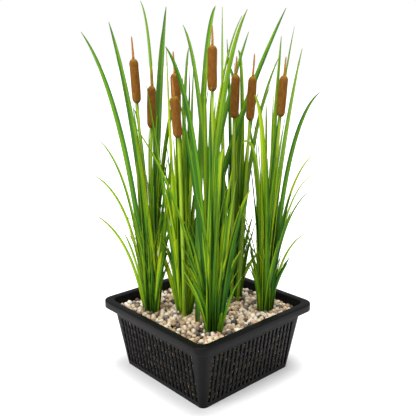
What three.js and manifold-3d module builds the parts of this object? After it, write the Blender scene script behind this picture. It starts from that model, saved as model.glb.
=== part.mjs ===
// A square pond basket filled with gravel and planted with five clumps of dwarf cattail.
// Millimetres, +Z up. The origin is the centre of the basket's underside, with X and Y along its sides.
import * as THREE from 'three';
import { mergeVertices } from 'three/addons/utils/BufferGeometryUtils.js';
import Module from 'manifold-3d';

const wasm = await Module();
wasm.setup();

// Driving dimensions
const RIM_WIDTH = 280;
const BASKET_HEIGHT = 130;
const BASE_WIDTH = 216;
const MOUTH_WIDTH = 256;
const WALL = 2.4;
const FLOOR = 3;
const RIM_DROP = 14;
const RIM_THICKNESS = 2.5;
const RIM_CORNER = 20;
const WALL_CORNER = 16;
const GRAVEL_TOP = 119;
const GAP = 0.3;
const ROOT_LEVEL = GRAVEL_TOP + GAP;
const LEAF_LAYER = 3.2;
const STEM_LAYER = 7;
const FAN_SPREAD = 5;
const FAN_HEIGHT = 600;
const BLADE_STATIONS = 12;
const BLADE_BASE_THICKNESS = 2.1;
const BLADE_TIP_THICKNESS = 0.8;
const BLADE_TWIST = 28;
const FOOT_WIDTH = 0.75;
const FOOT_SHARE = 0.12;
const TAPER_START = 2.6;
const TAPER_FULLNESS = 0.65;
const STEM_BASE_RADIUS = 3;
const STEM_TOP_RADIUS = 2.4;
const STEM_SIDES = 8;
const STEM_STATIONS = 8;
const SPIKE_RADIUS = 7.6;
const SPIRE_RADIUS = 2;
const SPIKE_SIDES = 12;
const YOUNG_THICKNESS = 2;

const basketPlastic = new THREE.MeshStandardMaterial({ color: 0x262828, roughness: 0.5, metalness: 0 });
const gravelStone = new THREE.MeshStandardMaterial({ color: 0xc9bba6, roughness: 0.85, metalness: 0 });
const stemGreen = new THREE.MeshStandardMaterial({ color: 0x93a832, roughness: 0.55, metalness: 0 });
const spikeBrown = new THREE.MeshStandardMaterial({ color: 0x7d4a1e, roughness: 0.95, metalness: 0 });
const leafGreen = new THREE.MeshStandardMaterial({ color: 0x4c7d2e, roughness: 0.5, metalness: 0 });
const youngGreen = new THREE.MeshStandardMaterial({ color: 0x5f9c33, roughness: 0.5, metalness: 0 });

const cattails = new THREE.Group();

function addPiece(name, geometry, material) {
  const mesh = new THREE.Mesh(geometry, material);
  mesh.name = name;
  cattails.add(mesh);
  return mesh;
}

// Closed geometry with shared corners, as a solid that can be joined and cut.
function solidOf(geometry) {
  geometry.deleteAttribute('normal');
  geometry.deleteAttribute('uv');
  const merged = mergeVertices(geometry, 1e-4);
  const vertProperties = new Float32Array(merged.attributes.position.array);
  const triVerts = new Uint32Array(merged.index.array);
  return new wasm.Manifold(new wasm.Mesh({ numProp: 3, vertProperties, triVerts }));
}

function geometryOf(solid) {
  const mesh = solid.getMesh();
  const geometry = new THREE.BufferGeometry();
  geometry.setAttribute('position', new THREE.BufferAttribute(mesh.vertProperties, 3));
  geometry.setIndex(new THREE.BufferAttribute(mesh.triVerts, 1));
  geometry.computeVertexNormals();
  return geometry;
}

// Upright block with rounded corners. Its width changes evenly from bottom to top.
function roundedBlock(bottomWidth, topWidth, corner, bottom, top) {
  const half = topWidth / 2;
  const flat = half - corner;
  const outline = new THREE.Shape();
  outline.absarc(flat, flat, corner, 0, Math.PI / 2);
  outline.absarc(-flat, flat, corner, Math.PI / 2, Math.PI);
  outline.absarc(-flat, -flat, corner, Math.PI, 1.5 * Math.PI);
  outline.absarc(flat, -flat, corner, 1.5 * Math.PI, 2 * Math.PI);
  const height = top - bottom;
  const block = new THREE.ExtrudeGeometry(outline, { depth: height, bevelEnabled: false, curveSegments: 5 });
  const place = block.attributes.position;
  for (let i = 0; i < place.count; i += 1) {
    const rise = place.getZ(i) / height;
    const scale = (bottomWidth + (topWidth - bottomWidth) * rise) / topWidth;
    place.setXYZ(i, place.getX(i) * scale, place.getY(i) * scale, bottom + place.getZ(i));
  }
  return solidOf(block);
}

function wallWidthAt(height) {
  return BASE_WIDTH + (MOUTH_WIDTH - BASE_WIDTH) * (height / BASKET_HEIGHT);
}

// The space between the walls, drawn in by a margin all round.
function innerBlock(margin, bottom, top) {
  const inset = 2 * (WALL + margin);
  return roundedBlock(wallWidthAt(bottom) - inset, wallWidthAt(top) - inset, WALL_CORNER - WALL, bottom, top);
}

function makeBasket() {
  const body = roundedBlock(BASE_WIDTH, MOUTH_WIDTH, WALL_CORNER, 0, BASKET_HEIGHT);
  const rimBottom = BASKET_HEIGHT - RIM_DROP;
  const rimBlock = roundedBlock(RIM_WIDTH, RIM_WIDTH, RIM_CORNER, rimBottom, BASKET_HEIGHT);
  const grooveWidth = RIM_WIDTH - 2 * RIM_THICKNESS;
  const grooveTop = BASKET_HEIGHT - RIM_THICKNESS;
  const groove = roundedBlock(grooveWidth, grooveWidth, RIM_CORNER - RIM_THICKNESS, rimBottom - 1, grooveTop);
  const hollow = innerBlock(0, FLOOR, BASKET_HEIGHT + 1);
  const basket = rimBlock.subtract(groove).add(body).subtract(hollow);
  addPiece('basket', geometryOf(basket), basketPlastic);
}

function makeGravel() {
  addPiece('gravel_bed', geometryOf(innerBlock(GAP, FLOOR + GAP, GRAVEL_TOP)), gravelStone);
}

// Each clump is a fan: `face` is the way its blades face, in degrees from +X, and `side` runs across it.
// Its blades lie in layers from the front of the fan to the back, and the layers part with height.
function fanOf(clump) {
  const face = THREE.MathUtils.degToRad(clump.face);
  const normal = new THREE.Vector3(Math.cos(face), Math.sin(face), 0);
  const side = new THREE.Vector3(-normal.y, normal.x, 0);
  return { normal, side, root: new THREE.Vector3(clump.at[0], clump.at[1], ROOT_LEVEL) };
}

function pointInFan(fan, layer, across, rise) {
  const away = layer * (1 + (FAN_SPREAD * rise) / FAN_HEIGHT);
  const point = fan.root.clone().addScaledVector(fan.side, across).addScaledVector(fan.normal, away);
  point.z += rise;
  return point;
}

// A blade or stem rises from `start` and leans by `lean` until its tip. An arch of 0 is straight,
// and an arch of 1 goes straight up first and bends over near the top.
function arcPoint(fan, layer, growth, t) {
  const across = growth.start + growth.lean * ((1 - growth.arch) * t + growth.arch * t * t);
  const rise = (growth.tip - ROOT_LEVEL) * ((1 + growth.arch) * t - growth.arch * t * t);
  return pointInFan(fan, layer, across, rise);
}

function arcTangent(fan, layer, growth, t) {
  const step = 0.01;
  const low = arcPoint(fan, layer, growth, Math.max(0, t - step));
  const high = arcPoint(fan, layer, growth, Math.min(1, t + step));
  return high.sub(low).normalize();
}

// Bends an upright unit shape, one high with its foot at -0.5, along a growth's arc.
// The foot stays level, so that it stands on the gravel.
function bendAlongArc(shape, fan, layer, growth, sizeAt) {
  const place = shape.attributes.position;
  for (let i = 0; i < place.count; i += 1) {
    const t = place.getY(i) + 0.5;
    const size = sizeAt(t);
    const along = t > 0 ? arcTangent(fan, layer, growth, t) : new THREE.Vector3(0, 0, 1);
    const face = fan.normal.clone().addScaledVector(along, -along.dot(fan.normal)).normalize();
    const across = new THREE.Vector3().crossVectors(along, face);
    face.applyAxisAngle(along, size.turn);
    across.applyAxisAngle(along, size.turn);
    const point = arcPoint(fan, layer, growth, t);
    point.addScaledVector(across, place.getX(i) * size.across);
    point.addScaledVector(face, place.getZ(i) * size.through);
    place.setXYZ(i, point.x, point.y, point.z);
  }
  shape.deleteAttribute('uv');
  shape.deleteAttribute('normal');
  const bent = mergeVertices(shape, 1e-5);
  bent.computeVertexNormals();
  return bent;
}

// A blade widens above its foot, keeps its width to the middle and narrows to a fine tip.
function bladeSize(width, twist) {
  return (t) => {
    const sheath = THREE.MathUtils.lerp(FOOT_WIDTH, 1, Math.min(1, t / FOOT_SHARE));
    const taper = (1 - t ** TAPER_START) ** TAPER_FULLNESS;
    const thickness = THREE.MathUtils.lerp(BLADE_BASE_THICKNESS, BLADE_TIP_THICKNESS, t);
    const coneRadius = Math.max(1 - t, 1e-6);
    return {
      across: t < 1 ? (0.5 * width * sheath * taper) / coneRadius : 0,
      through: t < 1 ? (0.5 * thickness * Math.min(1, taper * 2)) / coneRadius : 0,
      turn: twist * t * t,
    };
  };
}

function makeLeaf(clump, fan, layer, leaf, order) {
  const twist = THREE.MathUtils.degToRad(BLADE_TWIST * ((order % 3) - 1));
  const cone = new THREE.ConeGeometry(1, 1, 4, BLADE_STATIONS);
  const bent = bendAlongArc(cone, fan, layer, leaf, bladeSize(leaf.width, twist));
  addPiece(`leaf_${clump.name}_${leaf.name}`, bent, leafGreen);
}

function stemSize(t) {
  const radius = THREE.MathUtils.lerp(STEM_BASE_RADIUS, STEM_TOP_RADIUS, t);
  return { across: radius, through: radius, turn: 0 };
}

// Female spike with rounded ends, and the thin male spire that stands on it.
function spikeProfile(length, spire) {
  const top = length + spire;
  return [
    [0, 0],
    [0.55 * SPIKE_RADIUS, 0],
    [0.9 * SPIKE_RADIUS, 2],
    [SPIKE_RADIUS, 6],
    [SPIKE_RADIUS, length - 6],
    [0.88 * SPIKE_RADIUS, length - 2],
    [0.5 * SPIKE_RADIUS, length],
    [SPIRE_RADIUS, length + 1.5],
    [0.75 * SPIRE_RADIUS, top - 9],
    [0, top],
  ].map(([radius, height]) => new THREE.Vector2(radius, height));
}

function makeStalk(fan, layer, growth) {
  const rod = new THREE.CylinderGeometry(1, 1, 1, STEM_SIDES, STEM_STATIONS);
  addPiece(`stem_${growth.stem}`, bendAlongArc(rod, fan, layer, growth, stemSize), stemGreen);
  const profile = spikeProfile(growth.spike, growth.spire);
  const spikeShape = new THREE.LatheGeometry(profile, SPIKE_SIDES);
  const spike = addPiece(`flower_spike_${growth.stem}`, spikeShape, spikeBrown);
  const along = arcTangent(fan, layer, growth, 1);
  spike.position.copy(arcPoint(fan, layer, growth, 1)).addScaledVector(along, GAP);
  spike.quaternion.setFromUnitVectors(new THREE.Vector3(0, 1, 0), along);
}

// The short inner blades stand as one thin fan-shaped plate that reaches their tips.
function makeYoungLeaves(clump, fan, layer) {
  const [left, middle, right] = clump.young;
  const outline = new THREE.Shape();
  outline.moveTo(-clump.foot, 0);
  outline.lineTo(left[0], left[1]);
  outline.lineTo(middle[0], middle[1]);
  outline.lineTo(right[0], right[1]);
  outline.lineTo(clump.foot, 0);
  const plate = new THREE.ExtrudeGeometry(outline, { depth: YOUNG_THICKNESS, bevelEnabled: false });
  plate.translate(0, 0, -YOUNG_THICKNESS / 2);
  const place = plate.attributes.position;
  for (let i = 0; i < place.count; i += 1) {
    const point = pointInFan(fan, layer, place.getX(i), place.getY(i));
    point.addScaledVector(fan.normal, place.getZ(i));
    place.setXYZ(i, point.x, point.y, point.z);
  }
  plate.computeVertexNormals();
  addPiece(`young_leaves_${clump.name}`, plate, youngGreen);
}

const blade = (name, start, lean, tip, arch, width) => ({ name, start, lean, tip, arch, width });
const stalk = (stem, start, lean, tip, arch, spike, spire) => (
  { stem, start, lean, tip, arch, spike, spire }
);
const YOUNG = 'young';

// Layers run from the front of each fan to the back. Each blade gives its start and lean across the fan,
// the height of its tip, its arch and its width. Each stalk gives its stem's top, its spike and its spire.
const clumps = [
  {
    name: 'left',
    at: [-66, -72],
    face: -55,
    foot: 9,
    young: [[-50, 200], [-8, 400], [38, 220]],
    layers: [
      [YOUNG],
      [blade('low_arch', -15, -80, 295, 0.6, 6)],
      [blade('long_arch', -8, -91, 605, 0.6, 11), blade('crossing', 11, 34, 405, 0, 8)],
      [stalk(1, 1, -18, 489, 0, 74, 35), blade('mid_arch', -16, -87, 363, 0.7, 6)],
      [stalk(2, -10, 8, 445, 0, 73, 31), blade('spray', -18, -80, 421, 0.6, 6)],
      [blade('tall', -6, -79, 625, 0.35, 12)],
      [blade('upright', -6, 20, 650, 0.5, 12)],
      [blade('lime_bend', -2, -38, 662, 0.8, 7)],
    ],
  },
  {
    name: 'inner',
    at: [-7, -48],
    face: -34,
    foot: 7,
    young: [[-46, 220], [0, 420], [46, 240]],
    layers: [
      [stalk(4, -3, -10, 440, 0.5, 67, 28)],
      [stalk(3, -1, -11, 473, 0.2, 68, 33)],
      [blade('narrow', 5, -4, 520, 0, 6), blade('straight', -6, -20, 580, -0.3, 7)],
      [blade('right_lean', -2, 14, 580, 0.8, 7)],
      [blade('pale', 2, 20, 553, 0, 8)],
      [YOUNG],
      [blade('right_green', 8, 115, 608, 0.2, 11)],
      [blade('right_sweep', 10, 184, 650, 0.2, 12)],
    ],
  },
  {
    name: 'front',
    at: [69, -48],
    face: -45,
    foot: 8,
    young: [[-50, 200], [0, 400], [48, 220]],
    layers: [
      [YOUNG],
      [
        blade('thin_left', -12, -110, 466, 0.4, 5),
        blade('broad_short', 2, 14, 430, 0.9, 12),
        blade('dark_right', 14, 40, 350, 0.4, 7),
      ],
      [blade('left_sweep', -10, -61, 580, 0.7, 10), blade('side_right', 10, 50, 365, 0.5, 8)],
      [blade('left_second', -8, -44, 500, 0.3, 9)],
      [stalk(5, -3, 0, 512, 0, 71, 30)],
      [blade('slender', -12, -4, 545, 0.3, 8)],
      [blade('left_tall', -6, -46, 615, 0.7, 9)],
      [blade('dark_tall', -28, 28, 645, 0.85, 11), blade('yellow_right', -15, 66, 640, 0.6, 11)],
    ],
  },
  {
    name: 'back',
    at: [2, 69],
    face: -52,
    foot: 7,
    young: [[-36, 220], [4, 400], [42, 220]],
    layers: [
      [stalk(6, -3, 4, 462, 0.5, 76, 29), stalk(7, 8, 20, 459, 0, 76, 36)],
      [blade('right_low', 5, 56, 517, 0.5, 6)],
      [blade('dark_up', -4, -13, 595, 0.4, 7)],
      [blade('right_high', 4, 68, 565, 0.5, 8)],
      [blade('bent', 12, -13, 577, 1, 8)],
      [blade('pale_up', -9, -24, 652, -0.5, 9)],
      [YOUNG],
    ],
  },
  {
    name: 'right',
    at: [71, 78],
    face: -30,
    foot: 9,
    young: [[-42, 220], [2, 400], [46, 200]],
    layers: [
      [YOUNG],
      [blade('low_arch', 14, 62, 262, 0.8, 5), blade('yellow', -8, -28, 506, 0.8, 10)],
      [blade('long_arch', 13, 70, 508, 0.8, 10)],
      [stalk(8, 5, 16, 465, 0.2, 71, 30), blade('yellow_arch', 15, 71, 400, 0.7, 6)],
      [blade('upright', 2, 26, 600, 0.2, 12), blade('green_arch', 13, 73, 329, 0.6, 6)],
      [blade('pale', 8, 64, 580, 0.3, 9)],
      [blade('bronze', 3, 60, 618, 0.3, 8)],
    ],
  },
];

function layerThickness(layer) {
  return layer.some((growth) => growth.stem) ? STEM_LAYER : LEAF_LAYER;
}

function makeClump(clump) {
  const fan = fanOf(clump);
  const depth = clump.layers.reduce((sum, layer) => sum + layerThickness(layer), 0);
  let front = depth / 2;
  let order = 0;
  for (const layer of clump.layers) {
    const middle = front - layerThickness(layer) / 2;
    for (const growth of layer) {
      if (growth === YOUNG) {
        makeYoungLeaves(clump, fan, middle);
      } else if (growth.stem) {
        makeStalk(fan, middle, growth);
      } else {
        makeLeaf(clump, fan, middle, growth, order);
        order += 1;
      }
    }
    front -= layerThickness(layer);
  }
}

makeBasket();
makeGravel();
clumps.forEach(makeClump);

export default cattails;
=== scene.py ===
import math

import bmesh
import bpy
import numpy as np
from mathutils import Matrix, Vector


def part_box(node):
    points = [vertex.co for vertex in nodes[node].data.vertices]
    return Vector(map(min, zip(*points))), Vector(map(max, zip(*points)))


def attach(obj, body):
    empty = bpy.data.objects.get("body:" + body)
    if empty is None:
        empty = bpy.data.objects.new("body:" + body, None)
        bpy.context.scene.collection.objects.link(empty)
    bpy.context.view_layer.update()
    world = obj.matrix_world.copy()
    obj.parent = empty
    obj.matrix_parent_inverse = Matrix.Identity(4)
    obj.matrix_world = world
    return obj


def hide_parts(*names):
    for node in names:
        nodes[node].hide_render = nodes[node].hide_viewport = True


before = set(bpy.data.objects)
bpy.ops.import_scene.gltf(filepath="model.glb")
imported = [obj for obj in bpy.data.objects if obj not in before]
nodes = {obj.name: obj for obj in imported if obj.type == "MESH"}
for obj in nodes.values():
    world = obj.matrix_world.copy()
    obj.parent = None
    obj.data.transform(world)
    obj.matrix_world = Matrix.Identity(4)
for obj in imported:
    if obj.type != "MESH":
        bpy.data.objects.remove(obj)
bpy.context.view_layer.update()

# Sizes in metres
MM = 0.001
WALL = 2.4 * MM
FLOOR = 3 * MM
SLOT_COLUMNS = 20
SLOT_ROWS = 6
SLOT_FIELD = 95.5 * MM
SLOT_WIDTH = 5.3 * MM
SLOT_LENGTH = 13.9 * MM
SLOT_PITCH = 15.2 * MM
SLOT_START = 10 * MM
RIM_DROP = 14 * MM
RIM_ROUND = 2.2 * MM
RIM_CORNER = 20 * MM
FOOT_CORNER = 10 * MM
MOUTH_CORNER = 16 * MM
CORNER_STEPS = 7
PEBBLE_SMALL = 4.0 * MM
PEBBLE_LARGE = 5.7 * MM
BLADE_SIDES = 8
BLADE_CUTS = 40
YOUNG_CUTS = 9
BLADE_THICKNESS = 1.1 * MM
BLADE_WAVE = 1.6 * MM
ROOT_DEPTH = 12 * MM
TIP_WIDTH = 1.3 * MM
PAINTED_FOLD_LIGHT = 0.22
SPIRE_RADIUS = 2.1 * MM
SPIKE_DOME = 6 * MM

# Gravel, with depths below its top
BED_DEPTH = 14 * MM
TOP_LAYER = 9 * MM
CORE_TOP = 11 * MM
CORE_INSET = 5.5 * MM
WALL_PEBBLE_TOP = 16 * MM
TOP_PEBBLES = 1600
WALL_PEBBLES = 330
SETTLE_ROUNDS = 50

# Basket widths as parts of the rim's: half widths in millimetres
HALF_RIM = 140
HALF_FOOT = 108
HALF_MOUTH = 128

# Where young blades stand, in millimetres: to each side of a clump's foot, and from one face to the other
TUFT_SIDE = 11
TUFT_DEPTH = (-12, 6)

# Each pass draws its random numbers from a seed of its own
PEBBLE_SEED = 7
BLADE_SEED = 21
TUFT_SEED = 33

# Camera angles in degrees, its distances in metres and its lens in millimetres
AZIMUTH = 47.5
ELEVATION = 14.1
CAMERA_DISTANCE = 1.051
CAMERA_HEIGHT = 0.3057
CAMERA_SIDE = 0.0019
LENS = 51.24

# Light: the room's strength on the plant, the watts of each lamp, and where the floor's glow sets in
ROOM_LIGHT = 0.52
KEY_POWER = 79
FRONT_POWER = 43
GLOW_NEAR = 0.15
GLOW_FAR = 1.1
FLOOR_SIZE = 40


# ---------------------------------------------------------------- materials

def paint(red, green, blue):
    """A colour as it is seen, 0 to 1, turned into the linear light that the shader takes."""
    seen = (red, green, blue)
    return tuple(((c + 0.055) / 1.055) ** 2.4 if c > 0.04045 else c / 12.92 for c in seen) + (1.0,)


class Wire:
    """A number that flows through a material. Arithmetic on it adds Math nodes."""

    def __init__(self, finish, socket):
        self.finish = finish
        self.socket = socket

    def sum_with(self, operation, first, second):
        return self.finish.node("Math", "Value", {"operation": operation}, {0: first, 1: second})

    def __add__(self, other):
        return self.sum_with("ADD", self, other)

    def __radd__(self, other):
        return self.sum_with("ADD", other, self)

    def __sub__(self, other):
        return self.sum_with("SUBTRACT", self, other)

    def __rsub__(self, other):
        return self.sum_with("SUBTRACT", other, self)

    def __mul__(self, other):
        return self.sum_with("MULTIPLY", self, other)

    def __rmul__(self, other):
        return self.sum_with("MULTIPLY", other, self)

    def __pow__(self, other):
        return self.sum_with("POWER", self, other)


class Finish:
    """A material under construction. Its fixed values sit on the shader's own sockets."""

    def __init__(self, name, **fixed):
        self.material = bpy.data.materials.new(name)
        self.material.use_nodes = True
        self.tree = self.material.node_tree
        self.shader = self.tree.nodes["Principled BSDF"]
        for socket, value in fixed.items():
            self.shader.inputs[socket.replace("_", " ")].default_value = value

    def feed(self, socket, value):
        """Links a wire to a socket, or sets the socket to a fixed value."""
        if isinstance(value, Wire):
            self.tree.links.new(value.socket, socket)
        else:
            socket.default_value = value

    def node(self, kind, output, settings, inputs):
        """Adds a node, sets it up, feeds its sockets and returns one of its outputs."""
        made = self.tree.nodes.new("ShaderNode" + kind)
        for key, value in settings.items():
            if key == "stops":
                self.set_stops(made.color_ramp, value)
            else:
                setattr(made, key, value)
        for key, value in inputs.items():
            self.feed(made.inputs[key], value)
        return Wire(self, made.outputs[output])

    @staticmethod
    def set_stops(ramp, stops):
        """Gives a colour ramp its stops, each a position and a colour."""
        while len(ramp.elements) < len(stops):
            ramp.elements.new(0.5)
        for element, (position, colour) in zip(ramp.elements, stops):
            element.position = position
            element.color = colour

    def value(self, name):
        """A number that each point of the piece carries."""
        return self.node("Attribute", "Fac", {"attribute_name": name}, {})

    def place(self, *stretch):
        """Object coordinates, stretched along each axis."""
        where = self.node("TexCoord", "Object", {}, {})
        return self.node("Mapping", "Vector", {}, {"Vector": where, "Scale": stretch})

    def noise(self, where, scale, detail=3.0, roughness=0.55):
        """Soft random mottling from 0 to 1, about 0.5 on average."""
        inputs = {"Vector": where, "Scale": scale, "Detail": detail, "Roughness": roughness}
        return self.node("TexNoise", "Fac", {}, inputs)

    def ramp(self, amount, stops, blend="LINEAR"):
        """A colour that runs through the stops as the amount grows."""
        shade = self.node("ValToRGB", "Color", {"stops": stops}, {"Fac": amount})
        shade.socket.node.color_ramp.interpolation = blend
        return shade

    def step(self, amount, low, high):
        """0 below low and 1 above high, smoothly between them."""
        inputs = {"Value": amount, "From Min": low, "From Max": high}
        return self.node("MapRange", "Result", {"interpolation_type": "SMOOTHSTEP"}, inputs)

    def blend(self, amount, first, second, mode="MIX"):
        """Mixes two colours. A Mix node's colour sockets go by place: 0, 6 and 7 in, and 2 out."""
        settings = {"data_type": "RGBA", "blend_type": mode}
        return self.node("Mix", 2, settings, {0: amount, 6: first, 7: second})

    def show(self, colour, roughness, height=None, depth=0.0):
        """Feeds the shader's colour, roughness and, from a height, its bump."""
        self.feed(self.shader.inputs["Base Color"], colour)
        self.feed(self.shader.inputs["Roughness"], roughness)
        if height is not None:
            bump = self.node("Bump", "Normal", {}, {"Height": height, "Distance": depth})
            self.feed(self.shader.inputs["Normal"], bump)
        return self.material


class Sky(Finish):
    """The world's nodes, built in the same way as a material's."""

    def __init__(self, name):
        self.world = bpy.data.worlds.new(name)
        self.world.use_nodes = True
        self.tree = self.world.node_tree
        self.background = self.tree.nodes["Background"]


def blade_finish(name):
    """Green blade: fine veins, one half of the fold lighter as painted light, a painted shade at the
    foot, a worn tip and each blade's own tone.
    """
    finish = Finish(name, Specular_IOR_Level=0.14)
    across = finish.value("across")
    along = finish.value("along")
    tone = finish.value("tone")
    bloom = finish.value("bloom")
    spread = {"X": across * 7.0, "Y": along * 3.0, "Z": tone * 40.0}
    streaks = finish.node("CombineXYZ", "Vector", {}, spread)
    vein = finish.noise(streaks, 1.0, 4.0, 0.65)
    patch = finish.noise(finish.place(50, 50, 11), 1.0, 2.0)
    # Which half of the fold a point lies on: one half is painted lighter and the other darker, painted
    # light and shade from one side
    fold = finish.step(across, -0.12, 0.12)
    # The foot of each blade is painted darker: painted shade where the blades crowd together at the
    # gravel
    foot = (1.0 - along) ** 5.0
    lit = (fold - 0.5) * finish.value("fold")
    shade = tone + (vein - 0.5) * 0.22 + (patch - 0.5) * 0.3 + lit - foot * 0.2
    green = finish.ramp(shade, [
        (0.0, paint(0.12, 0.29, 0.05)), (0.22, paint(0.23, 0.43, 0.08)), (0.45, paint(0.39, 0.57, 0.06)),
        (0.7, paint(0.60, 0.71, 0.06)), (1.0, paint(0.74, 0.81, 0.12))])
    misty = finish.blend(bloom, green, paint(0.55, 0.70, 0.30))
    worn = finish.step(along + (patch - 0.5) * 0.05, 0.975, 1.02)
    colour = finish.blend(worn, misty, paint(0.62, 0.60, 0.25))
    ribs = finish.node("Math", "Value", {"operation": "SINE"}, {0: across * 22.0})
    return finish.show(colour, 0.46 + vein * 0.25, ribs * 0.4 + vein, 0.0003)


def stem_finish():
    """Round green stem, streaked along its length, paler higher up, with a painted shade just under the
    spike.
    """
    finish = Finish("living stem", Specular_IOR_Level=0.35)
    along = finish.value("along")
    streak = finish.noise(finish.place(500, 500, 10), 1.0, 3.0)
    # Painted shade: the stem is darkened just under the spike that overhangs it
    neck_shade = finish.step(along, 0.95, 1.0)
    shade = 0.3 + along * 0.25 + (streak - 0.5) * 0.9 - neck_shade * 0.35
    colour = finish.ramp(shade, [
        (0.0, paint(0.30, 0.45, 0.03)), (0.45, paint(0.52, 0.64, 0.05)), (1.0, paint(0.72, 0.78, 0.14))])
    return finish.show(colour, 0.4 + streak * 0.2, streak, 0.0002)


def spike_finish(name, dark, middle, light, fibre):
    """Velvety flower head of tightly packed fine fibres, with a painted ochre highlight on its top and a
    painted shade at its foot.
    """
    finish = Finish(name, Specular_IOR_Level=0.12, Sheen_Weight=0.12, Sheen_Roughness=0.4)
    finish.shader.inputs["Sheen Tint"].default_value = paint(0.95, 0.66, 0.30)
    along = finish.value("along")
    nap = finish.noise(finish.place(fibre, fibre, fibre), 1.0, 2.0, 0.7)
    mottle = finish.noise(finish.place(260, 260, 130), 1.0, 3.0)
    # Painted shade: the head's foot, on its underside, is darkened
    foot = finish.step(along, 0.1, 0.0)
    shade = (nap - 0.5) * 0.9 + (mottle - 0.5) * 0.6 + 0.5 - foot * 0.35
    brown = finish.ramp(shade, [(0.15, dark), (0.5, middle), (0.9, light)])
    # Painted highlight: the head's top, where light falls on it, turns a lighter ochre
    crown_highlight = finish.step(along + (mottle - 0.5) * 0.06, 0.9, 1.0)
    colour = finish.blend(crown_highlight * 0.75, brown, paint(0.56, 0.43, 0.13))
    return finish.show(colour, 0.85 + nap * 0.1, nap, 0.0006)


def pebble_finish():
    """Rounded river pebbles: each has its own stone colour, with a fine speckle and soft cloudy bands."""
    finish = Finish("river pebbles", Specular_IOR_Level=0.3)
    tone = finish.value("tone")
    stone = finish.ramp(tone, [
        (0.0, paint(0.31, 0.29, 0.26)), (0.07, paint(0.42, 0.39, 0.35)), (0.15, paint(0.54, 0.50, 0.45)),
        (0.23, paint(0.68, 0.58, 0.46)), (0.34, paint(0.78, 0.68, 0.55)), (0.46, paint(0.84, 0.76, 0.64)),
        (0.6, paint(0.88, 0.82, 0.72)), (0.8, paint(0.91, 0.87, 0.80)), (0.94, paint(0.79, 0.65, 0.54)),
    ], "CONSTANT")
    cloud = finish.noise(finish.place(170, 170, 230), 1.0, 3.0)
    speckle = finish.noise(finish.place(1500, 1500, 1500), 1.0, 2.0)
    shadow = finish.ramp(cloud * 0.7 + speckle * 0.3, [
        (0.3, paint(0.82, 0.78, 0.73)), (0.5, paint(1.0, 1.0, 1.0))])
    colour = finish.blend(1.0, stone, shadow, "MULTIPLY")
    return finish.show(colour, 0.62 + speckle * 0.25, speckle + cloud, 0.00015)


def shaded_gravel_finish():
    """Grit coloured near black as painted shade, seen only between pebbles and through the slots."""
    finish = Finish("packed gravel", Specular_IOR_Level=0.1)
    grain = finish.noise(finish.place(140, 140, 140), 1.0, 4.0)
    # Near black all over: painted shade for the gaps between pebbles and the hollow behind the slots
    colour = finish.ramp(grain, [(0.3, paint(0.04, 0.03, 0.02)), (0.7, paint(0.17, 0.13, 0.09))])
    return finish.show(colour, 0.95)


def plastic_finish():
    """Black moulded plastic with a fine grain, faint scuffs and a little dust."""
    finish = Finish("moulded black plastic", Specular_IOR_Level=0.09)
    grain = finish.noise(finish.place(1800, 1800, 1800), 1.0, 2.0)
    scuff = finish.noise(finish.place(45, 45, 160), 1.0, 5.0, 0.7)
    dust = finish.step(scuff, 0.52, 0.8)
    colour = finish.blend(dust * 0.25, paint(0.05, 0.05, 0.05), paint(0.15, 0.15, 0.14))
    return finish.show(colour, 0.32 + scuff * 0.22, grain + scuff * 0.5, 0.00012)


blade_green = blade_finish("cattail blade")
stem_green = stem_finish()
spike_brown = spike_finish(
    "velvet spike", paint(0.26, 0.15, 0.03), paint(0.44, 0.28, 0.08), paint(0.55, 0.38, 0.15), 2200)
spire_tan = spike_finish(
    "spent spire", paint(0.44, 0.27, 0.10), paint(0.62, 0.41, 0.18), paint(0.74, 0.54, 0.28), 1600)
pebble_stone = pebble_finish()
shaded_gravel_stone = shaded_gravel_finish()
basket_black = plastic_finish()


# ---------------------------------------------------------------- shapes

def piece_from(name, mesh, material, replaced=()):
    """Adds a finished mesh as a piece of the plant and the CAD nodes it replaces."""
    piece = bpy.data.objects.new(name, mesh)
    bpy.context.collection.objects.link(piece)
    mesh.materials.append(material)
    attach(piece, "root")
    if replaced:
        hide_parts(*replaced)
    return piece


def template_of(form):
    """Points and faces of a small shape, ready to be copied many times."""
    form.verts.ensure_lookup_table()
    points = np.array([v.co[:] for v in form.verts])
    faces = [[v.index for v in face.verts] for face in form.faces]
    form.free()
    return points, faces


def unit_rod(sides, cuts):
    """Upright rod of radius 1 from 0 to 1, cut into even rings, with a corner on the Y axis."""
    form = bmesh.new()
    bmesh.ops.create_cone(form, cap_ends=True, segments=sides, radius1=1, radius2=1, depth=1)
    bmesh.ops.translate(form, verts=form.verts, vec=(0, 0, 0.5))
    corner = next(v.co.xy for v in form.verts)
    turn = Matrix.Rotation(math.radians(90) - math.atan2(corner.y, corner.x), 3, "Z")
    bmesh.ops.rotate(form, verts=form.verts, matrix=turn)
    upright = [e for e in form.edges if abs(e.verts[0].co.z - e.verts[1].co.z) > 0.5]
    bmesh.ops.subdivide_edges(form, edges=upright, cuts=cuts, use_grid_fill=True)
    return template_of(form)


def unit_pebble():
    """Ball of radius 1 with a few dozen even faces, from a cube cut into squares."""
    form = bmesh.new()
    bmesh.ops.create_cube(form, size=2)
    bmesh.ops.subdivide_edges(form, edges=form.edges, cuts=2, use_grid_fill=True)
    for vert in form.verts:
        vert.co.normalize()
    return template_of(form)


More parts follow.
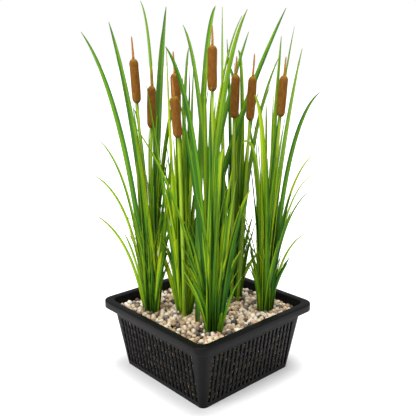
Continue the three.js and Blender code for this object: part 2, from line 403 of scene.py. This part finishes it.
class Batch:
    """Copies of small shapes, each bent or placed by itself, that become one mesh."""

    def __init__(self):
        self.points = []
        self.faces = []
        self.values = {}
        self.count = 0

    def add(self, points, faces, **values):
        """Adds one shape. Each value is one number for all of it, or one for each point."""
        self.faces.extend([[corner + self.count for corner in face] for face in faces])
        self.points.append(points)
        self.count += len(points)
        for name, value in values.items():
            self.values.setdefault(name, []).append(np.broadcast_to(value, len(points)))

    def mesh(self, name):
        """One smooth mesh of every shape so far, with the values as attributes."""
        mesh = bpy.data.meshes.new(name)
        mesh.from_pydata(np.concatenate(self.points).tolist(), [], self.faces)
        for name, parts in self.values.items():
            layer = mesh.attributes.new(name, "FLOAT", "POINT")
            layer.data.foreach_set("value", np.concatenate(parts).astype(np.float32))
        mesh.shade_smooth()
        return mesh


def unit_vectors(rows):
    """Each row scaled to length 1."""
    return rows / np.linalg.norm(rows, axis=1, keepdims=True)


class Line:
    """The middle line of a blade or stem: a curve of second degree in its own length t, from 0 to 1."""

    def __init__(self, foot, bend, tip, face):
        self.weights = np.array([foot, bend, tip])
        self.face = np.array(face)

    def at(self, t):
        """Points on the line."""
        t = t[:, None]
        foot, bend, tip = self.weights
        return (1 - t) ** 2 * foot + 2 * t * (1 - t) * bend + t * t * tip

    def along(self, t):
        """The way that the line runs at each t."""
        t = t[:, None]
        foot, bend, tip = self.weights
        return unit_vectors(2 * (1 - t) * (bend - foot) + 2 * t * (tip - bend))

    def axes(self, t, turn):
        """The ways across and out of the blade, turned about its own line."""
        along = self.along(t)
        out = unit_vectors(self.face - along * (along @ self.face)[:, None])
        across = np.cross(along, out)
        cos, sin = np.cos(turn)[:, None], np.sin(turn)[:, None]
        return across * cos + out * sin, out * cos - across * sin


def blade_width(t):
    """Share of the full width: a narrower foot, full to the middle, then a long fine tip."""
    sheath = 0.75 + 0.25 * np.clip(t / 0.12, 0, 1)
    return sheath * (1 - np.clip(t, 0, 1) ** 2.6) ** 0.6


def add_blade(batch, template, line, width, chance, tone, bloom, slack):
    """Bends a rod into a blade: a folded lens in section that follows the line and sways a little.

    The order of the draws from chance is part of the shape.
    """
    points, faces = template
    keel = chance.uniform(0.15, 0.45)
    lay = chance.uniform(-0.4, 0.4) * slack
    turn = chance.uniform(-1.1, 1.1) * slack
    wave = BLADE_WAVE * slack
    phase = chance.uniform(0, 6)
    t = points[:, 2] ** 0.85
    share = np.maximum(blade_width(t), min(TIP_WIDTH / width, 0.25))
    swing = lay + turn * t ** 1.5 + 0.12 * slack * np.sin(7 * t + phase)
    across, out = line.axes(t, swing)
    sway = wave * np.sin(5.5 * t + phase) * t * (1 - 0.5 * t)
    half = 0.5 * width * share
    thick = 0.5 * BLADE_THICKNESS * (1.5 - 0.9 * t) * np.sqrt(share)
    middle = line.at(t) + across * sway[:, None]
    lift = points[:, 1] * thick + keel * half * (np.abs(points[:, 0]) - 0.5)
    bent = middle + across * (points[:, 0] * half)[:, None] + out * lift[:, None]
    # How strongly, and on which half, this blade's fold gets its painted light
    fold = chance.choice((-PAINTED_FOLD_LIGHT, PAINTED_FOLD_LIGHT))
    batch.add(bent, faces, across=points[:, 0], along=t, tone=tone, bloom=bloom, fold=fold)


def merged_copy(node):
    """The node's corner points and their links, with doubles merged, from a copy of its mesh."""
    form = bmesh.new()
    form.from_mesh(node.data)
    bmesh.ops.remove_doubles(form, verts=form.verts, dist=1e-6)
    form.verts.index_update()
    return form


def blade_line(node):
    """Reads a plain blade's middle line and width back from its rings of corners, tip to foot."""
    form = merged_copy(node)
    low = min(v.co.z for v in form.verts)
    foot_ring = [v for v in form.verts if v.co.z < low + 1e-4]
    foot = sum((v.co for v in foot_ring), Vector()) / len(foot_ring)
    tip = max(form.verts, key=lambda v: (v.co - foot).length)
    rings = [[tip]]
    seen = {tip}
    while True:
        ring = {e.other_vert(v) for v in rings[-1] for e in v.link_edges} - seen
        if len(ring) < 4:
            break
        rings.append(sorted(ring, key=lambda v: v.index))
        seen |= ring
    middles = [sum((v.co for v in ring), Vector()) / len(ring) for ring in rings]
    widths = [max((a.co - b.co).length for a in ring for b in ring) for ring in rings]
    order = np.linspace(1, 0, len(rings))
    curve = [np.polyfit(order, [m[axis] for m in middles], 2) for axis in range(3)]
    foot_point = np.array([c[2] for c in curve])
    tip_point = np.array([sum(c) for c in curve])
    bend_point = foot_point + 0.5 * np.array([c[1] for c in curve])
    wide = max(((a.co - b.co) for a in rings[-2] for b in rings[-2]), key=lambda d: d.length)
    out = np.cross(np.array(wide), tip_point - foot_point)
    if out[0] < out[1]:
        out = -out  # every blade faces the basket's near corner, whichever way its ring was read
    form.free()
    return Line(foot_point, bend_point, tip_point, out / np.linalg.norm(out)), max(widths)


# ---------------------------------------------------------------- basket

basket_low, basket_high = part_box("basket")
gravel_low, gravel_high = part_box("gravel_bed")
RIM_HALF = basket_high[0]
RIM_TOP = basket_high[2]
GRAVEL_TOP = gravel_high[2]
FOOT_HALF = RIM_HALF * HALF_FOOT / HALF_RIM
MOUTH_HALF = RIM_HALF * HALF_MOUTH / HALF_RIM


def wall_half(height):
    """Half the width outside the walls, which lean out with height."""
    return FOOT_HALF + (MOUTH_HALF - FOOT_HALF) * height / RIM_TOP


def corner_radius(height):
    """The round of the outside corners, which grows with height."""
    return FOOT_CORNER + (MOUTH_CORNER - FOOT_CORNER) * height / RIM_TOP


def slot_edges():
    """Where the slots begin and end along one wall."""
    middles = np.linspace(-SLOT_FIELD, SLOT_FIELD, SLOT_COLUMNS)
    return [middle + side for middle in middles for side in (-SLOT_WIDTH / 2, SLOT_WIDTH / 2)]


def wall_outline(half, corner):
    """One round of the basket: four walls with slot edges, and four round corners."""
    flat = half - corner
    wall = [(place, -half) for place in slot_edges()]
    for step in range(CORNER_STEPS + 1):
        angle = math.radians(90 * step / CORNER_STEPS)
        wall.append((flat + corner * math.sin(angle), -flat - corner * math.cos(angle)))
    outline = []
    for quarter in range(4):
        turn = Matrix.Rotation(math.radians(90 * quarter), 2)
        outline += [turn @ Vector(point) for point in wall]
    return outline + outline[:1]


def basket_rounds():
    """Half width, corner and height of each round of the skin, from the floor up and over the rim."""
    heights = [FLOOR, FLOOR + 2 * MM]
    for row in range(SLOT_ROWS):
        start = SLOT_START + row * SLOT_PITCH
        heights += [start, start + SLOT_LENGTH]
    heights += [RIM_TOP - RIM_DROP, RIM_TOP - 3 * MM]
    rounds = [(wall_half(z) - WALL, corner_radius(z) - WALL, z) for z in heights]
    inner = wall_half(RIM_TOP) - WALL
    for angle in (30, 60, 90):
        bow = math.radians(angle)
        out = RIM_ROUND * (1 - math.cos(bow))
        height = RIM_TOP - RIM_ROUND * (1 - math.sin(bow))
        rounds.append((inner + out, MOUTH_CORNER - WALL + out, height))
    for angle in (0, 30, 60, 90):
        bow = math.radians(angle)
        back = RIM_ROUND * (1 - math.sin(bow))
        height = RIM_TOP - RIM_ROUND * (1 - math.cos(bow))
        rounds.append((RIM_HALF - back, RIM_CORNER - back, height))
    rounds.append((RIM_HALF, RIM_CORNER, RIM_TOP - RIM_DROP + 0.6 * MM))
    rounds.append((RIM_HALF - 0.5 * MM, RIM_CORNER - 0.5 * MM, RIM_TOP - RIM_DROP))
    return rounds


def make_basket():
    """A sheet wrapped round the inside and over the rim, with the slots cut out, then thickened."""
    rounds = basket_rounds()
    outlines = [(wall_outline(half, corner), z) for half, corner, z in rounds]
    columns = len(outlines[0][0])
    form = bmesh.new()
    bmesh.ops.create_grid(form, x_segments=columns - 1, y_segments=len(rounds) - 1, size=0.5)
    slots = set()
    for face in form.faces:
        middle = face.calc_center_median()
        column = int((middle.x + 0.5) * (columns - 1)) % ((columns - 1) // 4)
        level = int((middle.y + 0.5) * (len(rounds) - 1))
        in_column = column % 2 == 0 and column < 2 * SLOT_COLUMNS
        if in_column and level % 2 == 0 and 2 <= level < 2 + 2 * SLOT_ROWS:
            slots.add(face)
    bmesh.ops.delete(form, geom=list(slots), context="FACES_ONLY")
    for vert in form.verts:
        column = round((vert.co.x + 0.5) * (columns - 1))
        outline, height = outlines[round((vert.co.y + 0.5) * (len(rounds) - 1))]
        vert.co = (*outline[column], height)
    bmesh.ops.remove_doubles(form, verts=form.verts, dist=1e-6)
    open_edges = [e for e in form.edges if e.is_boundary]
    floor_edges = [e for e in open_edges if max(v.co.z for v in e.verts) < FLOOR + 1e-5]
    bmesh.ops.contextual_create(form, geom=floor_edges)
    bmesh.ops.recalc_face_normals(form, faces=form.faces)
    if form.faces[0].normal.z < 0 and abs(form.faces[0].normal.z) > 0.9:
        bmesh.ops.reverse_faces(form, faces=form.faces)
    slot_low, slot_high = FLOOR + 3 * MM, RIM_TOP - 20 * MM
    corners = [v for v in form.verts if v.is_boundary and slot_low < v.co.z < slot_high]
    bmesh.ops.bevel(form, geom=corners, offset=1.2 * MM, segments=2, profile=0.5, affect="VERTICES",
                    material=-1, offset_type="OFFSET")
    mesh = bpy.data.meshes.new("slotted_basket")
    form.to_mesh(mesh)
    form.free()
    basket = piece_from("slotted_basket", mesh, basket_black, ["basket"])
    shell = basket.modifiers.new("wall", "SOLIDIFY")
    shell.thickness = WALL
    shell.offset = -1
    shell.use_even_offset = True
    mesh.shade_smooth()
    mesh.set_sharp_from_angle(angle=math.radians(40))


make_basket()


# ---------------------------------------------------------------- gravel

def settle(centres, radii, hold, rounds):
    """Pushes overlapping pebbles apart, then holds them in their space, round after round."""
    for _ in range(rounds):
        order = np.argsort(centres[:, 0])
        centres = centres[order]
        radii = radii[order]
        push = np.zeros_like(centres)
        reach = 1
        while reach < len(centres):
            gap = centres[reach:] - centres[:-reach]
            if gap[:, 0].min() > 2 * PEBBLE_LARGE:
                break
            far = np.linalg.norm(gap, axis=1) + 1e-9
            bite = np.clip((radii[reach:] + radii[:-reach]) * 0.97 - far, 0, None)
            shove = gap * (0.5 * bite / far)[:, None]
            push[reach:] += shove
            push[:-reach] -= shove
            reach += 1
        centres = hold(centres + push * 0.7)
    return centres, radii


def pebble_sizes(chance, count):
    """A radius for each pebble."""
    return chance.uniform(PEBBLE_SMALL, PEBBLE_LARGE, count) * chance.uniform(0.85, 1.1, count)


def keep_inside(centres, gap):
    """Keeps pebbles within the walls and off the round corners."""
    half = wall_half(centres[:, 2]) - WALL - gap
    centres[:, 0] = np.clip(centres[:, 0], -half, half)
    centres[:, 1] = np.clip(centres[:, 1], -half, half)
    over = np.clip(np.abs(centres[:, :2]).sum(axis=1) - (2 * half - 0.6 * MOUTH_CORNER), 0, None)
    centres[:, :2] -= np.sign(centres[:, :2]) * (over / 2)[:, None]
    return centres


def top_pebbles(chance, count):
    """Pebbles in a bed two deep, up to the gravel's top."""

    def hold(centres):
        sunk = centres[:, 2] - 0.25 * MM
        centres[:, 2] = np.clip(sunk, GRAVEL_TOP - BED_DEPTH, GRAVEL_TOP - PEBBLE_SMALL)
        return keep_inside(centres, PEBBLE_LARGE)

    reach = wall_half(GRAVEL_TOP) - WALL
    low = (-reach, -reach, GRAVEL_TOP - BED_DEPTH)
    start = chance.uniform(low, (reach, reach, GRAVEL_TOP), (count, 3))
    return settle(start, pebble_sizes(chance, count), hold, SETTLE_ROUNDS)


def wall_pebbles(chance, count, quarter):
    """Pebbles that lie against the inside of one wall."""

    def hold(centres):
        centres[:, 2] = np.clip(centres[:, 2], FLOOR + PEBBLE_LARGE, GRAVEL_TOP - WALL_PEBBLE_TOP)
        half = wall_half(centres[:, 2]) - WALL - 1.2 * PEBBLE_LARGE
        centres[:, 1] = np.clip(centres[:, 1], -half, -half + 5 * MM)
        return keep_inside(centres, 1.2 * PEBBLE_LARGE)

    low = (-0.1, -0.12, FLOOR)
    high = (0.1, -0.1, GRAVEL_TOP - WALL_PEBBLE_TOP)
    start = chance.uniform(low, high, (count, 3))
    centres, radii = settle(start, pebble_sizes(chance, count), hold, SETTLE_ROUNDS)
    turn = np.array(Matrix.Rotation(math.radians(90 * quarter), 3, "Z"))
    return centres @ turn.T, radii


def random_turns(chance, count):
    """Even random turns in space, as matrices."""
    q = unit_vectors(chance.normal(size=(count, 4)))
    w, x, y, z = q.T
    rows = [
        [1 - 2 * (y * y + z * z), 2 * (x * y - w * z), 2 * (x * z + w * y)],
        [2 * (x * y + w * z), 1 - 2 * (x * x + z * z), 2 * (y * z - w * x)],
        [2 * (x * z - w * y), 2 * (y * z + w * x), 1 - 2 * (x * x + y * y)],
    ]
    return np.array(rows).transpose(2, 0, 1)


def make_pebbles(name, chance, centres, radii, lightest, replaced=()):
    """Each pebble is a lumpy, slightly flattened ball with a size, turn and stone of its own."""
    points, faces = unit_pebble()
    turns = random_turns(chance, len(centres))
    batch = Batch()
    for centre, radius, turn in zip(centres, radii, turns):
        stretch = chance.uniform((0.98, 0.88, 0.74), (1.16, 1.0, 0.92))
        lump = 1 + 0.06 * np.sin(points @ chance.normal(size=3) * 2.4 + chance.uniform(0, 6))
        body = (points * lump[:, None] * stretch * radius) @ turn.T
        centre = np.array([centre[0], centre[1], min(centre[2], GRAVEL_TOP - body[:, 2].max())])
        batch.add(body + centre, faces, tone=chance.uniform(0, lightest))
    return piece_from(name, batch.mesh(name), pebble_stone, replaced)


def make_gravel():
    """Loose pebbles on top and behind each wall, round a plain core, painted dark as shade, that fills
    the rest.
    """
    chance = np.random.default_rng(PEBBLE_SEED)
    centres, radii = top_pebbles(chance, TOP_PEBBLES)
    lower = centres[:, 2] < GRAVEL_TOP - TOP_LAYER
    make_pebbles("pebbles_top", chance, centres[~lower], radii[~lower], 1.0, ["gravel_bed"])
    make_pebbles("pebbles_second_layer", chance, centres[lower], radii[lower], 0.75)
    for quarter, side in enumerate(("front", "right", "back", "left")):
        centres, radii = wall_pebbles(chance, WALL_PEBBLES, quarter)
        # Only the darker stone tones behind the walls: painted shade inside the basket, seen through the
        # slots
        make_pebbles(f"pebbles_{side}_wall", chance, centres, radii, 0.42)
    form = bmesh.new()
    bmesh.ops.create_cube(form, size=2)
    inset = WALL + CORE_INSET
    for vert in form.verts:
        height = FLOOR + MM if vert.co.z < 0 else GRAVEL_TOP - CORE_TOP
        half = wall_half(height) - inset
        vert.co = (vert.co.x * half, vert.co.y * half, height)
    upright = [e for e in form.edges if abs(e.verts[0].co.z - e.verts[1].co.z) > 0.05]
    bmesh.ops.bevel(form, geom=upright, offset=8 * MM, segments=4, profile=0.5, affect="EDGES",
                    material=-1)
    mesh = bpy.data.meshes.new("packed_gravel")
    form.to_mesh(mesh)
    form.free()
    piece_from("packed_gravel", mesh, shaded_gravel_stone)


make_gravel()


# ---------------------------------------------------------------- blades

# How yellow each blade is, from deep green to lime, and how misty
BLADE_TONES = {
    "left_long_arch": (0.25, 0), "left_tall": (0.28, 0.1), "left_upright": (0.16, 0.15),
    "left_crossing": (0.4, 0), "left_spray": (0.5, 0), "left_mid_arch": (0.6, 0),
    "left_low_arch": (0.6, 0), "left_lime_bend": (0.42, 0.15),
    "inner_narrow": (0.5, 0.2), "inner_straight": (0.7, 0), "inner_right_lean": (0.35, 0.3),
    "inner_pale": (0.45, 0.5), "inner_right_green": (0.3, 0.1), "inner_right_sweep": (0.3, 0),
    "front_thin_left": (0.45, 0), "front_broad_short": (0.6, 0.1), "front_dark_right": (0.25, 0),
    "front_left_sweep": (0.25, 0), "front_side_right": (0.68, 0), "front_left_second": (0.25, 0),
    "front_slender": (0.5, 0), "front_left_tall": (0.35, 0.2), "front_dark_tall": (0.36, 0.15),
    "front_yellow_right": (0.5, 0.1), "back_pale_up": (0.6, 0.45), "back_dark_up": (0.3, 0),
    "back_bent": (0.45, 0), "back_right_low": (0.4, 0.5), "back_right_high": (0.4, 0.5),
    "right_low_arch": (0.55, 0), "right_long_arch": (0.25, 0), "right_yellow": (0.64, 0),
    "right_yellow_arch": (0.72, 0), "right_upright": (0.5, 0), "right_green_arch": (0.45, 0),
    "right_pale": (0.45, 0.4), "right_bronze": (0.5, 0),
}

# How far a second blade's foot stands from its neighbour's, in millimetres
SECOND_FOOT = (-4, 3, 0)

# Slender second blades: the long blade that each grows beside, how far its bend and tip lie from that
# blade's, in millimetres, its width and its tone
SECOND_BLADES = {
    "right_arch": ("right_yellow_arch", (0, 2, -12), (4, 4, -35), 6, 0.66),
    "front_brown": ("front_yellow_right", (-4, -8, 0), (-6, -6, -10), 5, 0.55),
    "left_dark": ("left_upright", (-6, -2, 0), (-5, -5, -34), 7, 0.25),
    "left_lean": ("left_tall", (12, 4, 0), (34, 22, -150), 6, 0.4),
    "right_lean": ("right_upright", (-8, -4, 0), (-16, -18, -110), 6, 0.58),
    "back_lean": ("back_right_high", (-6, 0, 0), (-26, -22, -60), 6, 0.42),
    "inner_left": ("inner_straight", (-6, -4, 0), (-22, -24, -60), 7, 0.4),
    "inner_right": ("inner_pale", (6, 4, 0), (16, 18, -40), 6, 0.5),
    "inner_tall": ("inner_narrow", (0, 0, 0), (8, 8, 30), 7, 0.3),
    "front_middle": ("front_slender", (4, 4, 0), (12, 12, -50), 8, 0.55),
    "front_crossing": ("front_left_second", (10, 10, 0), (36, 32, 20), 7, 0.3),
    "back_upright": ("back_dark_up", (4, 4, 0), (10, 10, -40), 7, 0.35),
    "back_bend": ("back_bent", (-6, -4, 0), (-14, -14, -30), 8, 0.4),
    "left_inner": ("left_upright", (-4, 18, 0), (4, 30, -150), 8, 0.4),
    "right_inner": ("right_yellow", (-6, -6, 0), (-14, -14, -80), 8, 0.5),
}


def make_leaves():
    """Every long blade on its CAD blade's line, then the slender second blades beside them."""
    chance = np.random.default_rng(BLADE_SEED)
    template = unit_rod(BLADE_SIDES, BLADE_CUTS)
    for name, (tone, bloom) in BLADE_TONES.items():
        line, width = blade_line(nodes[f"leaf_{name}"])
        batch = Batch()
        add_blade(batch, template, line, width, chance, tone, bloom, 0.6)
        piece = f"blade_{name}"
        piece_from(piece, batch.mesh(piece), blade_green, [f"leaf_{name}"])
    for name, (neighbour, bend, tip, width, tone) in SECOND_BLADES.items():
        line = blade_line(nodes[f"leaf_{neighbour}"])[0]
        line.weights = line.weights + np.array([SECOND_FOOT, bend, tip]) * MM
        batch = Batch()
        add_blade(batch, template, line, width * MM, chance, tone, 0.0, 0.5)
        piece = f"second_blade_{name}"
        piece_from(piece, batch.mesh(piece), blade_green)


def fan_of(node):
    """Foot, sideways direction and roof points of a clump's plate of young blades."""
    form = merged_copy(node)
    points = np.array([v.co[:] for v in form.verts])
    form.free()
    low = points[:, 2].min()
    foot_points = points[points[:, 2] < low + MM]
    foot = foot_points.mean(axis=0)
    wide = max((a - b for a in foot_points for b in foot_points), key=np.linalg.norm)
    side = np.array([wide[0], wide[1], 0]) * np.sign(wide[0] + wide[1])
    side /= np.linalg.norm(side)
    high = points[points[:, 2] > low + 10 * MM] - foot
    across = high @ side
    roof = sorted(zip(across, high[:, 2]))
    return foot, side, roof


# The kinds of young blade in each clump. Each gives a count, a width in millimetres, a share of the
# roof's height, how far the tip follows its foot's side and strays from it, a lean in depth as a share
# of height, a turn away from the fan's face in radians, where it bends, and how much it sways.
YOUNG_KINDS = {
    "broad": {"count": 42, "width": (5.5, 10.5), "rise": (0.35, 1.0), "follow": 0.65, "stray": 0.4,
              "depth": (0, 0.2), "turn": (0, 0.8), "bend": (0.3, 0.3, 0.62), "slack": 1.0},
    "wispy": {"count": 26, "width": (1.6, 3.4), "rise": (0.35, 0.9), "follow": 0.3, "stray": 0.7,
              "depth": (0, 0.25), "turn": (0, 1.4), "bend": (0.2, 0.2, 0.7), "slack": 2.4},
    "deep": {"count": 10, "width": (6, 10), "rise": (0.6, 1.0), "follow": 0.3, "stray": 0.1,
             "depth": (0.1, 0.2), "turn": (1.0, 1.5), "bend": (0.25, 0.25, 0.65), "slack": 1.0},
}


def make_young_leaves(clump, chance, template):
    """A tuft of shorter blades that fills the clump and stays under the roof of its plate."""
    foot, side, roof = fan_of(nodes[f"young_leaves_{clump}"])
    normal = np.array([side[1], -side[0], 0.0])
    reach = [point[0] for point in roof]
    heights = [point[1] for point in roof]
    batch = Batch()
    for kind in YOUNG_KINDS.values():
        for _ in range(kind["count"]):
            share = chance.uniform(-1, 1)
            swing = np.clip(kind["follow"] * share + chance.normal() * kind["stray"], -1, 1)
            lean = swing * (reach[-1] if swing > 0 else -reach[0])
            height = np.interp(lean, reach, heights) * chance.uniform(*kind["rise"])
            depth = chance.choice((-1, 1)) * chance.uniform(*kind["depth"]) * height
            start = foot + side * share * TUFT_SIDE * MM + normal * chance.uniform(*TUFT_DEPTH) * MM
            start[2] -= ROOT_DEPTH
            tip = foot + side * lean + normal * depth
            tip[2] += height
            bend = start + (tip - start) * kind["bend"]
            turn = chance.choice((-1, 1)) * chance.uniform(*kind["turn"])
            line = Line(start, bend, tip, normal * math.cos(turn) + side * math.sin(turn))
            tone = np.clip(chance.normal(0.42, 0.2), 0.05, 0.72)
            width = chance.uniform(*kind["width"]) * MM
            add_blade(batch, template, line, width, chance, tone, 0.0, kind["slack"])
    name = f"young_blades_{clump}"
    piece_from(name, batch.mesh(name), blade_green, [f"young_leaves_{clump}"])


def make_tufts():
    """The young blades of all five clumps."""
    chance = np.random.default_rng(TUFT_SEED)
    template = unit_rod(6, YOUNG_CUTS)
    for clump in ("left", "inner", "front", "back", "right"):
        make_young_leaves(clump, chance, template)


make_leaves()
make_tufts()


# ---------------------------------------------------------------- stalks

def stem_line(node):
    """A stem's middle line by height, with its lower and upper radius."""
    form = merged_copy(node)
    points = np.array([v.co[:] for v in form.verts])
    form.free()
    low, high = points[:, 2].min(), points[:, 2].max()
    share = (points[:, 2] - low) / (high - low)
    bow = [np.polyfit(share, points[:, axis], 2) for axis in (0, 1)]
    off = np.hypot(points[:, 0] - np.polyval(bow[0], share), points[:, 1] - np.polyval(bow[1], share))
    radii = [off[share < 0.06].max(), off[share > 0.94].max()]
    return low, high, bow, radii


def make_stem(number, template):
    """A faintly fluted stem on its CAD stem's line, carried down into the gravel."""
    low, high, bow, radii = stem_line(nodes[f"stem_{number}"])
    low -= ROOT_DEPTH
    points, faces = template
    t = points[:, 2]
    radius = radii[0] + (radii[1] - radii[0]) * t
    flutes = 1 + 0.03 * np.sin(5 * np.arctan2(points[:, 1], points[:, 0]) + number)
    place = np.column_stack([
        np.polyval(bow[0], t) + points[:, 0] * radius * flutes,
        np.polyval(bow[1], t) + points[:, 1] * radius * flutes,
        low + (high + MM - low) * t,
    ])
    batch = Batch()
    batch.add(place, faces, along=t)
    name = f"green_stem_{number}"
    piece_from(name, batch.mesh(name), stem_green, [f"stem_{number}"])


def round_off(t, ends):
    """Share of full radius along a rod with domed ends."""
    return np.sqrt(np.clip(1 - (1 - np.clip(np.minimum(t, 1 - t) / ends, 0, 1)) ** 2, 0, 1))


def make_spike(number, spike_template, spire_template):
    """The brown head, gently lumpy, and the thin spire that stands on it."""
    form = merged_copy(nodes[f"flower_spike_{number}"])
    points = np.array([v.co[:] for v in form.verts])
    poles = sorted(form.verts, key=lambda v: len(v.link_edges))[-2:]
    foot, tip = sorted((np.array(v.co) for v in poles), key=lambda place: place[2])
    form.free()
    total = np.linalg.norm(tip - foot)
    axis = (tip - foot) / total
    height = (points - foot) @ axis
    off = np.linalg.norm(points - foot - height[:, None] * axis, axis=1)
    radius = off.max()
    length = height[off > 0.95 * radius].max() + SPIKE_DOME
    turn = np.array(Vector(axis).to_track_quat("Z", "Y").to_matrix())

    rod, faces = spike_template
    t = rod[:, 2]
    angle = np.arctan2(rod[:, 1], rod[:, 0])
    lumps = (1 + 0.02 * np.sin(3 * angle + 5 * t + number)
             + 0.015 * np.sin(2 * angle - 9 * t + 2 * number))
    share = np.maximum(round_off(t, 0.13), 0.12) * lumps * radius * (0.96 + 0.04 * np.sin(3 * t))
    body = np.column_stack([rod[:, 0] * share, rod[:, 1] * share, t * length])
    batch = Batch()
    batch.add(body @ turn.T + foot, faces, along=t)
    name = f"velvet_spike_{number}"
    piece_from(name, batch.mesh(name), spike_brown, [f"flower_spike_{number}"])

    rod, faces = spire_template
    t = rod[:, 2]
    angle = np.arctan2(rod[:, 1], rod[:, 0])
    taper = SPIRE_RADIUS * (1 - 0.5 * t) * np.sqrt(np.clip((1.03 - t) * 8, 0, 1))
    thin = taper * (1 + 0.1 * np.sin(40 * t + 3 * angle))
    bow = 0.8 * MM * np.sin(2.2 * t + number) * t
    rise = length - MM + t * (total - length + MM)
    spire = np.column_stack([rod[:, 0] * thin + bow, rod[:, 1] * thin, rise])
    batch = Batch()
    batch.add(spire @ turn.T + foot, faces, along=t)
    name = f"spire_{number}"
    piece_from(name, batch.mesh(name), spire_tan)


def make_stalks():
    """All eight stems with their spikes and spires."""
    stem_template = unit_rod(14, 30)
    spike_template = unit_rod(40, 60)
    spire_template = unit_rod(12, 24)
    for number in range(1, 9):
        make_stem(number, stem_template)
        make_spike(number, spike_template, spire_template)


make_stalks()


# ---------------------------------------------------------------- stage

def make_floor():
    """A wide pale floor that glows to white away from the basket."""
    finish = Finish("pale floor", Specular_IOR_Level=0.1, Emission_Strength=1.0)
    away = finish.node("VectorMath", "Value", {"operation": "LENGTH"}, {0: finish.place(1, 1, 1)})
    share = finish.step(away, GLOW_NEAR, GLOW_FAR)
    glow = finish.blend(share, paint(0.5, 0.5, 0.5), paint(1.0, 1.0, 1.0))
    finish.feed(finish.shader.inputs["Emission Color"], glow)
    tint = finish.noise(finish.place(2, 2, 2), 1.0)
    colour = finish.ramp(tint, [(0.0, paint(0.89, 0.89, 0.89)), (1.0, paint(0.91, 0.91, 0.91))])
    form = bmesh.new()
    bmesh.ops.create_grid(form, x_segments=1, y_segments=1, size=FLOOR_SIZE)
    mesh = bpy.data.meshes.new("floor")
    form.to_mesh(mesh)
    form.free()
    mesh.materials.append(finish.show(colour, 0.9))
    floor = bpy.data.objects.new("floor", mesh)
    bpy.context.collection.objects.link(floor)


def soft_light(name, place, target, size, power):
    """A round lamp aimed at the target, with its width in metres and its power in watts."""
    lamp = bpy.data.lights.new(name, "AREA")
    lamp.shape = "DISK"
    lamp.size = size
    lamp.energy = power
    light = bpy.data.objects.new(name, lamp)
    light.location = place
    light.rotation_euler = (Vector(place) - Vector(target)).to_track_quat("Z", "Y").to_euler()
    bpy.context.collection.objects.link(light)


def make_camera():
    """Looks at the basket's near corner from a little above, square to the plant's middle height."""
    azimuth, elevation = math.radians(AZIMUTH), math.radians(ELEVATION)
    back = Vector((math.sin(azimuth) * math.cos(elevation), -math.cos(azimuth) * math.cos(elevation),
                   math.sin(elevation)))
    right = Vector((math.cos(azimuth), math.sin(azimuth), 0))
    lens = bpy.data.cameras.new("camera")
    lens.sensor_width = 36
    lens.lens = LENS
    lens.clip_start = 0.05
    camera = bpy.data.objects.new("camera", lens)
    turn = Matrix((right, back.cross(right), back)).transposed()
    place = back * CAMERA_DISTANCE + Vector((0, 0, CAMERA_HEIGHT)) + right * CAMERA_SIDE
    camera.matrix_world = Matrix.Translation(place) @ turn.to_4x4()
    bpy.context.collection.objects.link(camera)
    bpy.context.scene.camera = camera


def make_sky():
    """A white room that lights the plant softly and looks fully white behind it."""
    sky = Sky("studio")
    seen = sky.node("LightPath", "Is Camera Ray", {}, {})
    level = sky.node("MapRange", "Result", {}, {"Value": seen, "To Min": ROOM_LIGHT, "To Max": 1.0})
    sky.feed(sky.background.inputs["Strength"], level)
    sky.feed(sky.background.inputs["Color"], (1, 1, 1, 1))
    bpy.context.scene.world = sky.world


make_floor()
make_camera()
make_sky()
middle = (0, 0, 0.3)
soft_light("key light", (0.05, 0.08, 2.7), middle, 1.7, KEY_POWER)
soft_light("front light", (0.2, -2.1, 1.5), middle, 1.8, FRONT_POWER)
bpy.context.scene.view_settings.view_transform = "Standard"
